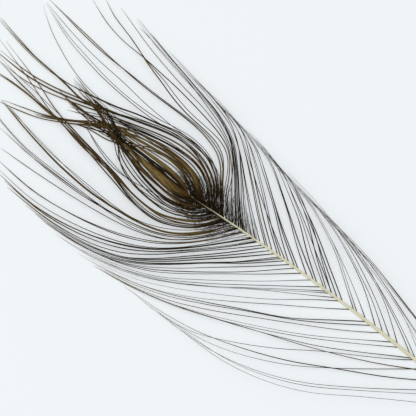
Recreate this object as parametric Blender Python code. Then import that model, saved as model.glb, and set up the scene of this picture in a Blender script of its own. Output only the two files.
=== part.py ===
"""A stripped peacock eye feather lying flat: one shaft and the locks of barbs that grow from it.

Metres, +X to the feather's right, +Y to its tip, +Z up. Places on the feather are in millimetres from the foot of
the eye, x to the right of it and y to the tip.
"""
import math

import bmesh
import bpy
from mathutils import Matrix, Vector

MM = 0.001

# Shaft: its cut end, its thin end, its bow and its half width at places along it.
SHAFT_FROM = -175.0
SHAFT_TO = 12.0
SHAFT_RINGS = 26
SHAFT_BOW_AT = -30.0
SHAFT_BOW_X = 1.0
SHAFT_BOW_RADIUS = 1012.0
SHAFT_HALF_WIDTHS = [(-175, 1.10), (-130, 0.86), (-100, 0.72), (-60, 0.58), (-15, 0.48), (0, 0.28), (12, 0.14)]
SHAFT_SUNK = 0.30

# Routes of barbs: where each leaves the shaft, and where it passes on its way to its tip.
RIGHT_ROUTES = [
    (-155, [(3, -140), (10, -122), (15, -106), (20, -90), (24, -75), (27, -62), (30, -50)]),
    (-130, [(4, -116), (11, -103), (17, -90), (22, -77), (26, -64), (29, -52), (32, -40)]),
    (-105, [(8, -93), (15, -82), (21, -71), (26, -60), (30, -49), (33, -38), (36, -27)]),
    (-80, [(9, -67), (18, -55), (25, -44), (31, -34), (35, -24), (38, -14), (41, -3)]),
    (-58, [(10, -45), (20, -33), (29, -22), (36, -13), (41, -3), (44, 8), (46, 20)]),
    (-42, [(10, -31), (20, -20), (30, -9), (38, 1), (43, 12), (47, 25), (50, 38)]),
    (-30, [(11, -21), (22, -12), (33, -2), (41, 10), (46, 24), (50, 38), (54, 54)]),
    (-24, [(12, -16), (24, -7), (34, 3), (41, 18), (46, 36), (52, 56), (60, 78)]),
    (-20, [(12, -12.5), (23, -5.5), (31, 4), (36, 20), (40, 43), (47, 68), (58, 94)]),
    (-17, [(11, -10.5), (20, -4), (27, 6), (30, 22), (31.5, 47), (35, 77), (43, 116)]),
    (-14, [(11, -6.5), (19, 6), (21.5, 21), (18.5, 40), (13.5, 63), (12.5, 90), (19, 126)]),
    (-11, [(8, -5), (14.5, 4), (18.2, 17), (17.5, 33), (12, 53), (6.5, 78), (5, 114)]),
    (-8, [(5, -3), (8.5, 6), (10.5, 19), (9.8, 34), (4.5, 51), (-5.5, 69), (-12.5, 101)]),
    (-4, [(3, 3), (5, 12), (6, 22), (6, 33), (4.5, 46), (5.5, 62), (9, 84)]),
    (4, [(2, 10), (2.5, 17), (3, 26), (3.5, 35), (5, 48), (9, 62), (17, 80)]),
]
LEFT_ROUTES = [
    (-157, [(-20, -137), (-34, -118), (-46, -100), (-53, -82), (-55, -64), (-53, -46), (-50.5, -26)]),
    (-140, [(-18, -121), (-29, -103), (-39, -85), (-46, -66), (-50, -47), (-51, -27), (-50.5, -6)]),
    (-120, [(-14, -101), (-24, -82), (-32, -64), (-39, -45), (-45, -26), (-49, -7), (-51, 12)]),
    (-100, [(-12, -83), (-21, -67), (-29, -50), (-37, -33), (-44, -15), (-48.5, 4), (-50, 24)]),
    (-82, [(-10, -66), (-19, -51), (-28, -36), (-37, -19), (-44, -2), (-48, 17), (-49, 36)]),
    (-66, [(-10, -53), (-20, -40), (-30, -26), (-39, -11), (-45, 6), (-48, 24), (-48.5, 43)]),
    (-51, [(-11, -38), (-22, -24), (-32, -11), (-40, 2), (-45, 17), (-47, 35), (-46.5, 54)]),
    (-41, [(-11, -28.5), (-22, -16), (-32, -4), (-40, 9), (-44.5, 25), (-46, 45), (-45, 68)]),
    (-34, [(-10, -24), (-21, -13), (-31, 0), (-38, 15), (-42.5, 33), (-44, 54), (-41, 78)]),
    (-29, [(-10, -20.5), (-20, -10.5), (-28, 1), (-34, 16), (-38, 36), (-39.5, 59), (-37, 82)]),
    (-26, [(-9, -18.5), (-18, -10), (-24.5, 1), (-28.5, 17), (-30.5, 37), (-31, 60), (-31, 85)]),
    (-22.5, [(-9, -15.5), (-17, -7), (-22.5, 5), (-24.5, 23), (-24, 45), (-20, 69), (-12, 101)]),
    (-19, [(-8, -12.5), (-14.5, -3), (-17.8, 10), (-16, 27), (-10.5, 47), (-5.5, 72), (4, 116)]),
    (-15, [(-6, -9), (-11.5, 0), (-14.5, 12), (-14, 27), (-9.5, 46), (-5, 72), (-2, 104)]),
    (-11, [(-5, -5), (-8.5, 3), (-10.3, 15), (-9.5, 28), (-3.5, 39), (5, 50), (13, 67)]),
    (-7, [(-3.5, -1), (-6, 7), (-7.2, 16), (-5.5, 27), (-1, 39), (6, 53), (12, 80)]),
    (-2, [(-2, 4), (-3, 11), (-3.7, 19), (-2.5, 29), (1.5, 42), (4, 56), (5, 76)]),
    (4, [(0, 10), (0, 17), (0.3, 25), (1, 34), (3, 47), (1, 62), (-6, 82)]),
]

# Broad flat barbs of the eye's middle: width, height over the floor, and the route.
BROAD_BARBS = [
    (4.4, 3.0, (-1, [(-1, 4), (-1.6, 10), (-1.2, 17), (0.2, 26), (2, 35), (3.4, 43), (4.6, 52)])),
    (2.0, 3.9, (1, [(3.0, 6), (4.2, 12), (4.6, 19), (4.8, 27), (4.8, 35), (4.9, 43), (5.2, 52)])),
    (2.6, 2.2, (-6, [(5.6, 0), (9.2, 6), (10.8, 14), (10.8, 24), (9.2, 33), (6.8, 42), (4, 53)])),
]

# Locks: how many a side, how they crowd to the eye, their width, thickness and rings.
LOCKS_RIGHT = 28
LOCKS_LEFT = 31
ROOTS_FROM = -156.0
ROOTS_TO = 3.0
CROWDING = 1.7
LOCK_WIDTH = 1.9
LOCK_ROOT_WIDTH = 0.70
LOCK_TIP_WIDTH = 0.50
FLATNESS = 0.42
LOCK_RINGS = 13
SWELL_BY = 0.18
THIN_FROM = 0.55

# Heights over the floor.
ROOT_HEIGHT = 0.45
TIP_HEIGHT = 0.12
LIFT_LEAST = 0.8
LIFT_MOST = 5.2
LIFT_STEP = 0.618
FLOOR_BLOCK = 400.0
MERGE = 0.00005

BARB_COLOUR = (0.030, 0.021, 0.011, 1.0)


def clear_all():
    for item in list(bpy.data.objects):
        bpy.data.objects.remove(item, do_unlink=True)


def collection(name):
    made = bpy.data.collections.new(name)
    bpy.context.scene.collection.children.link(made)
    return made


def between(rows, at):
    """Read a value from rows of (place, value), straight from one to the next."""
    if at <= rows[0][0]:
        return rows[0][1]
    for (low, first), (high, second) in zip(rows, rows[1:]):
        if at <= high:
            return first + (second - first) * (at - low) / (high - low)
    return rows[-1][1]


def shaft_x(y):
    return SHAFT_BOW_X - (y - SHAFT_BOW_AT) ** 2 / (2 * SHAFT_BOW_RADIUS)


def smooth(points, share):
    """A point at this share of a smooth curve through the points."""
    last = len(points) - 1
    place = min(max(share, 0.0), 0.99999) * last
    index = int(place)
    f = place - index
    a, b = points[max(index - 1, 0)], points[index]
    c, d = points[index + 1], points[min(index + 2, last)]
    return (a * (-f + 2 * f * f - f ** 3) + b * (2 - 5 * f * f + 3 * f ** 3)
            + c * (f + 4 * f * f - 3 * f ** 3) + d * (f ** 3 - f * f)) / 2


def with_root(row):
    root, points = row
    return [Vector((shaft_x(root), root))] + [Vector(point) for point in points]


def route(rows, root, share):
    """A point at this share of the barb that leaves the shaft at root, from the two measured routes beside it."""
    for low, high in zip(rows, rows[1:]):
        if root <= high[0]:
            break
    mix = min(max((root - low[0]) / (high[0] - low[0]), 0.0), 1.0)
    return smooth(with_root(low), share).lerp(smooth(with_root(high), share), mix)


def lock_half_width(share, width):
    if share < SWELL_BY:
        return (LOCK_ROOT_WIDTH + (width - LOCK_ROOT_WIDTH) * share / SWELL_BY) / 2
    if share < THIN_FROM:
        return width / 2
    return (width + (LOCK_TIP_WIDTH - width) * (share - THIN_FROM) / (1 - THIN_FROM)) / 2


def lock_height(share, lift):
    straight = ROOT_HEIGHT + (TIP_HEIGHT - ROOT_HEIGHT) * share
    return straight + lift * math.sin(math.pi * share ** 0.8) ** 1.2


def tube_mesh(name, path, radii, sides, flatness):
    """A closed tube of metres through the path of millimetres, squashed in height by flatness."""
    curve = bpy.data.curves.new(name, "CURVE")
    curve.dimensions = "3D"
    curve.twist_mode = "Z_UP"
    curve.bevel_depth = MM
    curve.bevel_resolution = sides
    curve.use_fill_caps = True
    spline = curve.splines.new("POLY")
    spline.points.add(len(path) - 1)
    for point, place, radius in zip(spline.points, path, radii):
        point.co = (place.x * MM, place.y * MM, place.z * MM / flatness, 1.0)
        point.radius = radius
    tube = bpy.data.objects.new(name, curve)
    tube.scale = (1.0, 1.0, flatness)
    bpy.context.scene.collection.objects.link(tube)
    bpy.context.view_layer.update()
    seen = tube.evaluated_get(bpy.context.evaluated_depsgraph_get())
    mesh = bpy.data.meshes.new_from_object(seen)
    mesh.transform(tube.matrix_world)
    work = bmesh.new()
    work.from_mesh(mesh)
    bmesh.ops.remove_doubles(work, verts=work.verts, dist=MERGE * 0.1)
    bmesh.ops.recalc_face_normals(work, faces=work.faces)
    work.to_mesh(mesh)
    work.free()
    bpy.data.objects.remove(tube, do_unlink=True)
    bpy.data.curves.remove(curve)
    return mesh


def placed(name, mesh, home):
    made = bpy.data.objects.new(name, mesh)
    home.objects.link(made)
    return made


def shaft_mesh():
    places = [SHAFT_FROM + (SHAFT_TO - SHAFT_FROM) * i / (SHAFT_RINGS - 1) for i in range(SHAFT_RINGS)]
    radii = [between(SHAFT_HALF_WIDTHS, y) for y in places]
    path = [Vector((shaft_x(y), y, r * (1 - SHAFT_SUNK))) for y, r in zip(places, radii)]
    return tube_mesh("shaft", path, radii, 2, 1.0)


def lock_meshes():
    """The locks of both sides, then the broad barbs of the eye."""
    meshes = []
    for side, (rows, count) in enumerate(((RIGHT_ROUTES, LOCKS_RIGHT), (LEFT_ROUTES, LOCKS_LEFT))):
        for i in range(count):
            root = ROOTS_TO + (ROOTS_FROM - ROOTS_TO) * (1 - i / (count - 1)) ** CROWDING
            lift = LIFT_LEAST + (LIFT_MOST - LIFT_LEAST) * ((i * LIFT_STEP + side / 2) % 1.0)
            path = []
            radii = []
            for ring in range(LOCK_RINGS):
                share = ring / (LOCK_RINGS - 1)
                place = route(rows, root, share)
                path.append(Vector((place.x, place.y, lock_height(share, lift))))
                radii.append(lock_half_width(share, LOCK_WIDTH))
            meshes.append(tube_mesh("lock", path, radii, 0, FLATNESS))
    for width, height, row in BROAD_BARBS:
        path = []
        radii = []
        for ring in range(LOCK_RINGS):
            share = ring / (LOCK_RINGS - 1)
            place = smooth(with_root(row), share)
            path.append(Vector((place.x, place.y, lock_height(share, height))))
            radii.append(lock_half_width(share, width))
        meshes.append(tube_mesh("broad barb", path, radii, 0, FLATNESS / 2))
    return meshes


def joined_mesh(name, meshes):
    work = bmesh.new()
    for mesh in meshes:
        work.from_mesh(mesh)
        bpy.data.meshes.remove(mesh)
    joined = bpy.data.meshes.new(name)
    work.to_mesh(joined)
    work.free()
    return joined


def boolean(target, tool, operation):
    step = target.modifiers.new(operation.lower(), "BOOLEAN")
    step.operation = operation
    step.solver = "EXACT"
    step.use_self = operation == "UNION"
    step.object = tool


def floor_block(home):
    work = bmesh.new()
    bmesh.ops.create_cube(work, size=FLOOR_BLOCK * MM)
    mesh = bpy.data.meshes.new("below the floor")
    work.to_mesh(mesh)
    work.free()
    mesh.transform(Matrix.Translation((0, 0, -FLOOR_BLOCK * MM / 2)))
    return placed("below the floor", mesh, home)


def keratin():
    material = bpy.data.materials.new("keratin")
    material.use_nodes = True
    shader = material.node_tree.nodes["Principled BSDF"]
    shader.inputs["Base Color"].default_value = BARB_COLOUR
    shader.inputs["Roughness"].default_value = 0.45
    return material


def finished(target, home):
    """The feather as one plain mesh with its box centred over the origin."""
    bpy.context.view_layer.update()
    seen = target.evaluated_get(bpy.context.evaluated_depsgraph_get())
    mesh = bpy.data.meshes.new_from_object(seen)
    work = bmesh.new()
    work.from_mesh(mesh)
    bmesh.ops.dissolve_degenerate(work, edges=work.edges, dist=MERGE * 0.1)
    bmesh.ops.triangulate(work, faces=work.faces)
    work.to_mesh(mesh)
    work.free()
    xs, ys, zs = zip(*(vertex.co for vertex in mesh.vertices))
    shift = Vector((-(min(xs) + max(xs)) / 2, -(min(ys) + max(ys)) / 2, -min(zs)))
    mesh.transform(Matrix.Translation(shift))
    mesh.materials.clear()
    mesh.materials.append(keratin())
    return placed("feather", mesh, home)


def main():
    clear_all()
    home = collection("stripped peacock eye feather")
    cutters = collection("cutters")
    shaft = placed("shaft", shaft_mesh(), cutters)
    locks = placed("locks", joined_mesh("locks", lock_meshes()), cutters)
    floor = floor_block(cutters)
    boolean(shaft, locks, "UNION")
    boolean(shaft, floor, "DIFFERENCE")
    finished(shaft, home)
    for item in (shaft, locks, floor):
        item.hide_render = True
        item.display_type = "WIRE"


main()
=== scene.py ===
"""A stripped peacock eye feather lying flat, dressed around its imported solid.

Places on the feather are in millimetres from the foot of the eye, x to the right of it and y to the tip.
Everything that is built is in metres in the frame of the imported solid, +X to the feather's right, +Y to its
tip and +Z up.
"""
import math
import random
from collections import Counter

import bpy
from bpy.props import FloatProperty, FloatVectorProperty, IntProperty, PointerProperty
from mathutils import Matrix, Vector
from mathutils.kdtree import KDTree

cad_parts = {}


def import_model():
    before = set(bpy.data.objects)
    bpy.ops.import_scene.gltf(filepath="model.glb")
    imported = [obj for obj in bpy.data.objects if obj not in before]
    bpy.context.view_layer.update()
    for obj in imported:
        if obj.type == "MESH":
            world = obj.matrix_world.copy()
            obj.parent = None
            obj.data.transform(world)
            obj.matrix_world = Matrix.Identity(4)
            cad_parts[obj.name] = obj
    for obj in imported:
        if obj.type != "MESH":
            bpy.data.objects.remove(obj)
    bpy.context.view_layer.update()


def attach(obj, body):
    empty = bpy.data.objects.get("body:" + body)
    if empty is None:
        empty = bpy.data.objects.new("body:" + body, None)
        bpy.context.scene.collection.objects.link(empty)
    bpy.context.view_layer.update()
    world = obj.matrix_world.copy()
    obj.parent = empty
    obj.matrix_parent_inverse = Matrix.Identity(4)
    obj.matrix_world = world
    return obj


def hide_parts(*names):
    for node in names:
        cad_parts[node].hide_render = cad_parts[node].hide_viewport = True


bl_info = {
    "name": "Stripped peacock eye feather",
    "version": (1, 0, 0),
    "blender": (4, 5, 0),
    "location": "3D View > Sidebar > Feather",
    "description": "Builds a stripped peacock eye feather from its shaft, its barbs and a stage",
    "category": "Add Mesh",
}

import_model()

NODE = "feather"
BODY = "root"
MM = 0.001

# Where the foot of the eye lies in the solid's frame.
EYE_FOOT = Vector((-1.341, 26.363, 0.0))

# Heights over the floor.
ROOT_HEIGHT = 0.38
TIP_HEIGHT = 0.16
CLEARANCE = 0.03

# Shaft: its ends, its bow, its half width at places along it, and how many sections it is swept through.
SHAFT_FROM = -175.0
SHAFT_TO = 12.0
SHAFT_BOW_AT = -30.0
SHAFT_BOW_X = 1.0
SHAFT_BOW_RADIUS = 1012.0
SHAFT_HALF_WIDTHS = [
    (-175, 1.10), (-130, 0.86), (-100, 0.72), (-60, 0.60), (-22, 0.50), (-12, 0.36), (0, 0.26), (12, 0.12),
]
SHAFT_RINGS = 64

# Section of the shaft, for a half width of one: a rounded back, flat sides and a groove below.
SHAFT_SECTION = [
    (1.0, -0.05), (0.92, 0.38), (0.66, 0.74), (0.26, 0.97), (-0.26, 0.97), (-0.66, 0.74), (-0.92, 0.38),
    (-1.0, -0.05), (-0.86, -0.50), (-0.50, -0.70), (-0.18, -0.56), (0.0, -0.44), (0.18, -0.56), (0.50, -0.70),
    (0.86, -0.50),
]
SHAFT_DEPTH = -min(y for _, y in SHAFT_SECTION)

# Cut end of the shaft, in metres.
RIM_WIDTH = 0.00013
PITH_WALL = 0.00006  # width of the sloping wall inside the rim
PITH_DEPTH = 0.0003
END_REACH = 0.0002  # its faces lie this near to the very end
END_FACING = 0.9  # and face it at least as squarely as this

# Section of a barb, for a half width of one, from one edge round over the top.
WIRY_SECTION = [(1.0, 0.0), (0.45, 0.62), (-0.45, 0.62), (-1.0, 0.0), (-0.45, -0.62), (0.45, -0.62)]
FLAT_SECTION = [(1.0, 0.0), (0.5, 0.24), (-0.5, 0.24), (-1.0, 0.0), (-0.5, -0.24), (0.5, -0.24)]
WIRY_DEPTH = max(y for _, y in WIRY_SECTION)

# Swept pieces: points closer than this, in metres, are merged, and edges flatter than this angle are smooth.
MERGE_DISTANCE = 0.000002
SMOOTH_ANGLE = math.radians(70.0)
END_SMOOTH_ANGLE = math.radians(35.0)

# Routes of barbs: where each leaves the shaft, and where it passes on its way to its tip.
RIGHT_ROUTES = [
    (-155, [(3, -140), (10, -122), (15, -106), (20, -90), (24, -75), (27, -62), (30, -50)]),
    (-130, [(4, -116), (11, -103), (17, -90), (22, -77), (26, -64), (29, -52), (32, -40)]),
    (-105, [(8, -93), (15, -82), (21, -71), (26, -60), (30, -49), (33, -38), (36, -27)]),
    (-80, [(9, -67), (18, -55), (25, -44), (31, -34), (35, -24), (38, -14), (41, -3)]),
    (-58, [(10, -45), (20, -33), (29, -22), (36, -13), (41, -3), (44, 8), (46, 20)]),
    (-42, [(10, -31), (20, -20), (30, -9), (38, 1), (43, 12), (47, 25), (50, 38)]),
    (-30, [(11, -21), (22, -12), (33, -2), (41, 10), (46, 24), (50, 38), (54, 54)]),
    (-24, [(12, -16), (24, -7), (34, 3), (41, 18), (46, 36), (52, 56), (60, 78)]),
    (-20, [(12, -12.5), (23, -5.5), (31, 4), (36, 20), (40, 43), (47, 68), (58, 94)]),
    (-17, [(11, -10.5), (20, -4), (27, 6), (30, 22), (31.5, 47), (35, 77), (43, 116)]),
    (-14, [(11, -6.5), (19, 6), (21.5, 21), (18.5, 40), (13.5, 63), (12.5, 90), (19, 126)]),
    (-11, [(8, -5), (14.5, 4), (18.2, 17), (17.5, 33), (12, 53), (6.5, 78), (5, 114)]),
    (-8, [(5.5, -3), (9.8, 7), (11.6, 21), (10.8, 36), (6.5, 49), (-4, 68), (-12.5, 101)]),
    (-4, [(4, 3), (7, 12), (8.8, 23), (8.6, 34), (6, 47), (4.5, 63), (9, 84)]),
    (4, [(2, 10), (3, 17), (4.5, 26), (6, 36), (8.2, 48), (11.5, 62), (17, 80)]),
]
LEFT_ROUTES = [
    (-157, [(-20, -137), (-34, -118), (-46, -100), (-53, -82), (-55, -64), (-53, -46), (-50.5, -26)]),
    (-140, [(-18, -121), (-29, -103), (-39, -85), (-46, -66), (-50, -47), (-51, -27), (-50.5, -6)]),
    (-120, [(-14, -101), (-24, -82), (-32, -64), (-39, -45), (-45, -26), (-49, -7), (-51, 12)]),
    (-100, [(-12, -83), (-21, -67), (-29, -50), (-37, -33), (-44, -15), (-48.5, 4), (-50, 24)]),
    (-82, [(-10, -66), (-19, -51), (-28, -36), (-37, -19), (-44, -2), (-48, 17), (-49, 36)]),
    (-66, [(-10, -53), (-20, -40), (-30, -26), (-39, -11), (-45, 6), (-48, 24), (-48.5, 43)]),
    (-51, [(-11, -38), (-22, -24), (-32, -11), (-40, 2), (-45, 17), (-47, 35), (-46.5, 54)]),
    (-41, [(-11, -28.5), (-22, -16), (-32, -4), (-40, 9), (-44.5, 25), (-46, 45), (-45, 68)]),
    (-34, [(-10, -24), (-21, -13), (-31, 0), (-38, 15), (-42.5, 33), (-44, 54), (-41, 78)]),
    (-29, [(-10, -20.5), (-20, -10.5), (-28, 1), (-34, 16), (-38, 36), (-39.5, 59), (-37, 82)]),
    (-26, [(-9, -18.5), (-18, -10), (-24.5, 1), (-28.5, 17), (-30.5, 37), (-31, 60), (-31, 85)]),
    (-22.5, [(-9, -15.5), (-17, -7), (-22.5, 5), (-24.5, 23), (-24, 45), (-20, 69), (-12, 101)]),
    (-19, [(-8, -12.5), (-14.5, -3), (-17.8, 10), (-16, 27), (-10.5, 47), (-5.5, 72), (4, 116)]),
    (-15, [(-6, -9), (-11.5, 0), (-14.5, 12), (-14, 27), (-9.5, 46), (-5, 72), (-2, 104)]),
    (-11, [(-5, -5), (-8.5, 3), (-10.6, 15), (-9.5, 28), (-3, 40), (6, 52), (13, 67)]),
    (-7, [(-3.5, -1), (-6, 7), (-7.2, 16), (-5, 28), (1, 41), (8.5, 56), (12, 80)]),
    (-2, [(-2, 4), (-3, 11), (-3.7, 20), (-1.5, 31), (3, 43), (6.2, 57), (6, 78)]),
    (4, [(0, 10), (0.2, 17), (0.9, 26), (2.2, 36), (3.2, 47), (0.5, 62), (-6, 82)]),
]

# Broad flat barbs of the eye's middle, the last of them black: width, height over the floor, how golden,
# and the route.
BROAD_BARBS = [
    (4.4, 3.8, 1.0, (-1, [
        (-1.5, 4), (-1.6, 10), (-1, 16), (0.1, 23), (1.4, 31), (2.8, 39), (3.8, 46), (4.2, 53)])),
    (2.0, 3.9, 1.0, (1, [(2.8, 6), (4, 12), (4.7, 19), (5.1, 27), (5.6, 35), (6.6, 43), (8.4, 52)])),
    (2.2, 3.6, 0.8, (-6, [(5.6, 0), (8.9, 5), (10.5, 12), (10.9, 20), (10.7, 28), (9.9, 36), (8, 44)])),
    (1.2, 4.5, 0.0, (2, [(1.6, 6), (2.4, 12), (2.9, 19), (3.2, 27), (3.7, 35), (4.3, 42), (5.6, 50)])),
]

# Bundles that stand out beside the eye: where they leave the shaft, how many barbs, how far apart there,
# the width of one barb and how golden it is.
LEFT_BUNDLES = [
    (-39.4, 1, 1.6, 0.58, 0.1), (-36.6, 2, 1.4, 0.44, 0.15), (-34.0, 2, 0.6, 0.66, 0.45),
    (-31.4, 1, 1.2, 0.46, 0.15), (-28.9, 2, 0.7, 0.52, 0.2), (-26.3, 1, 0.4, 0.56, 0.12),
    (-24.5, 2, 0.35, 0.52, 0.25),
]
RIGHT_BUNDLES = [
    (-27.2, 1, 1.6, 0.44, 0.15), (-24.8, 2, 1.4, 0.36, 0.2), (-22.4, 1, 1.0, 0.46, 0.25),
]

# Strands of the eye, each on a route of its own: where it leaves the shaft, how many barbs lie in it,
# the width of one barb, how golden it is, and where it passes on its way to its tip.
LEFT_STRANDS = [
    (-25.5, 2, 0.42, 0.1, [
        (-9, -18.5), (-17.5, -10.5), (-23.6, -1), (-27, 11), (-27.6, 24), (-27.4, 37), (-26.8, 50),
        (-25.8, 63), (-24.4, 76), (-21.6, 90), (-18.4, 102)]),
    (-23, 1, 1.05, 0.5, [
        (-9, -16), (-16.6, -8), (-21.6, 1), (-24.2, 12), (-24.7, 24), (-24.5, 36), (-23.6, 47), (-22.2, 59),
        (-19.8, 71), (-17.4, 81), (-14.8, 91), (-12.2, 102)]),
    (-21.6, 2, 0.36, 0.9, [
        (-9, -14.6), (-16, -6.5), (-20.6, 3), (-23.4, 14), (-24.1, 26), (-23.8, 38), (-22.6, 50),
        (-20.8, 61), (-18, 74), (-14.4, 88), (-11.2, 101)]),
    (-19.5, 3, 0.5, 0.3, [
        (-8, -12.5), (-14, -4), (-17.4, 4), (-18, 13), (-16.2, 23), (-13.6, 32), (-11, 41), (-8.7, 51),
        (-6.5, 61), (-4.9, 70), (-3.4, 80), (-1.6, 90), (0.6, 102), (5.4, 122)]),
    (-18, 2, 0.72, 0.6, [
        (-8, -11.5), (-13, -3.5), (-16, 5), (-16.5, 13), (-15.2, 23), (-12.8, 32), (-10.6, 41), (-8.2, 51),
        (-6, 61), (-4.3, 70), (-1.6, 80), (2.2, 90), (6, 101), (14.4, 127)]),
    (-16.5, 2, 0.68, 0.8, [
        (-7, -10), (-11.5, -3), (-14.4, 5), (-15, 13), (-13.8, 23), (-12, 32), (-10.4, 41), (-8.8, 51),
        (-6.8, 60), (-4.6, 69), (-4.2, 79), (-3, 90), (-2.5, 102), (-2.8, 114)]),
    (-14.5, 1, 0.65, 0.3, [
        (-6, -9), (-9.8, -2.5), (-12.3, 5), (-12.2, 14), (-10.8, 23), (-8, 31), (-4, 36.5), (2, 42),
        (8, 48.5), (11.8, 57), (14, 65), (15.8, 73), (17.4, 82)]),
    (-13.5, 2, 0.65, 0.6, [
        (-6, -8), (-9, -2), (-11.4, 5), (-11.4, 14), (-9.6, 23), (-6.6, 31), (-2.8, 37.5), (2.4, 43),
        (6.2, 49), (10, 57), (12.6, 65), (14.8, 72), (17, 80)]),
    (-12.5, 1, 0.39, 0.1, [
        (-5.5, -8), (-8.8, -1), (-10.4, 7), (-10.8, 18), (-9.8, 29), (-8.2, 39), (-6, 48), (-3, 55),
        (-0.2, 61)]),
    (-11.5, 1, 0.44, 0.1, [
        (-5, -7), (-8, -1), (-9.6, 7), (-9.8, 17), (-9.6, 27), (-8.8, 37), (-6.8, 45), (-3.6, 52),
        (-0.2, 58)]),
    (-10, 2, 0.68, 0.6, [
        (-4.5, -6), (-7.2, 0), (-8.4, 7), (-7.6, 15), (-6, 23), (-3.4, 30.5), (-0.4, 37), (4.4, 43),
        (8.8, 50), (12, 57), (13.8, 64), (14.6, 71)]),
    (-8, 2, 0.74, 0.9, [
        (-4, -4), (-6.2, 1), (-7, 8), (-6, 16), (-4.2, 24), (-2, 31), (0.4, 38), (2, 45), (3.6, 53),
        (5.4, 62), (5.8, 72), (7.6, 82)]),
    (-6, 2, 0.84, 1.0, [
        (-3, -3), (-4.8, 2), (-5.2, 9), (-4.2, 17), (-2.6, 25), (-0.4, 33), (1.6, 40), (3.2, 47), (6.4, 54),
        (9.6, 62), (11.8, 70)]),
    (-4, 2, 0.78, 0.1, [
        (-2.4, -1), (-3.6, 4), (-3.6, 10), (-2.8, 17), (-1.4, 25), (0.6, 33), (2.4, 40.5), (3.4, 48),
        (3.6, 56), (4.2, 64), (5.4, 75)]),
    (-7, 2, 0.62, 0.3, [
        (-3.4, -3), (-5.4, 2), (-6, 9), (-4.8, 17), (-2.6, 25), (0.6, 32), (3.4, 38), (5.6, 44), (7.4, 51),
        (9.2, 59), (12.6, 67)]),
    (-2.5, 1, 0.34, 0.0, [
        (-1.6, 2), (-2.8, 7), (-2.8, 13), (-1.8, 20), (-0.4, 28), (1.4, 35), (2.6, 43), (2.4, 52)]),
    (0.5, 1, 0.34, 0.0, [
        (0.3, 5), (0.8, 11), (1.4, 18), (2.2, 26), (3.2, 34), (4.6, 42), (6.6, 50), (9.4, 58)]),
    (2, 2, 0.86, 0.0, [(0.9, 6), (1.6, 12), (2.6, 19), (3.4, 27), (4, 35), (4.8, 43), (5.8, 51), (7.4, 59)]),
]
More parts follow.
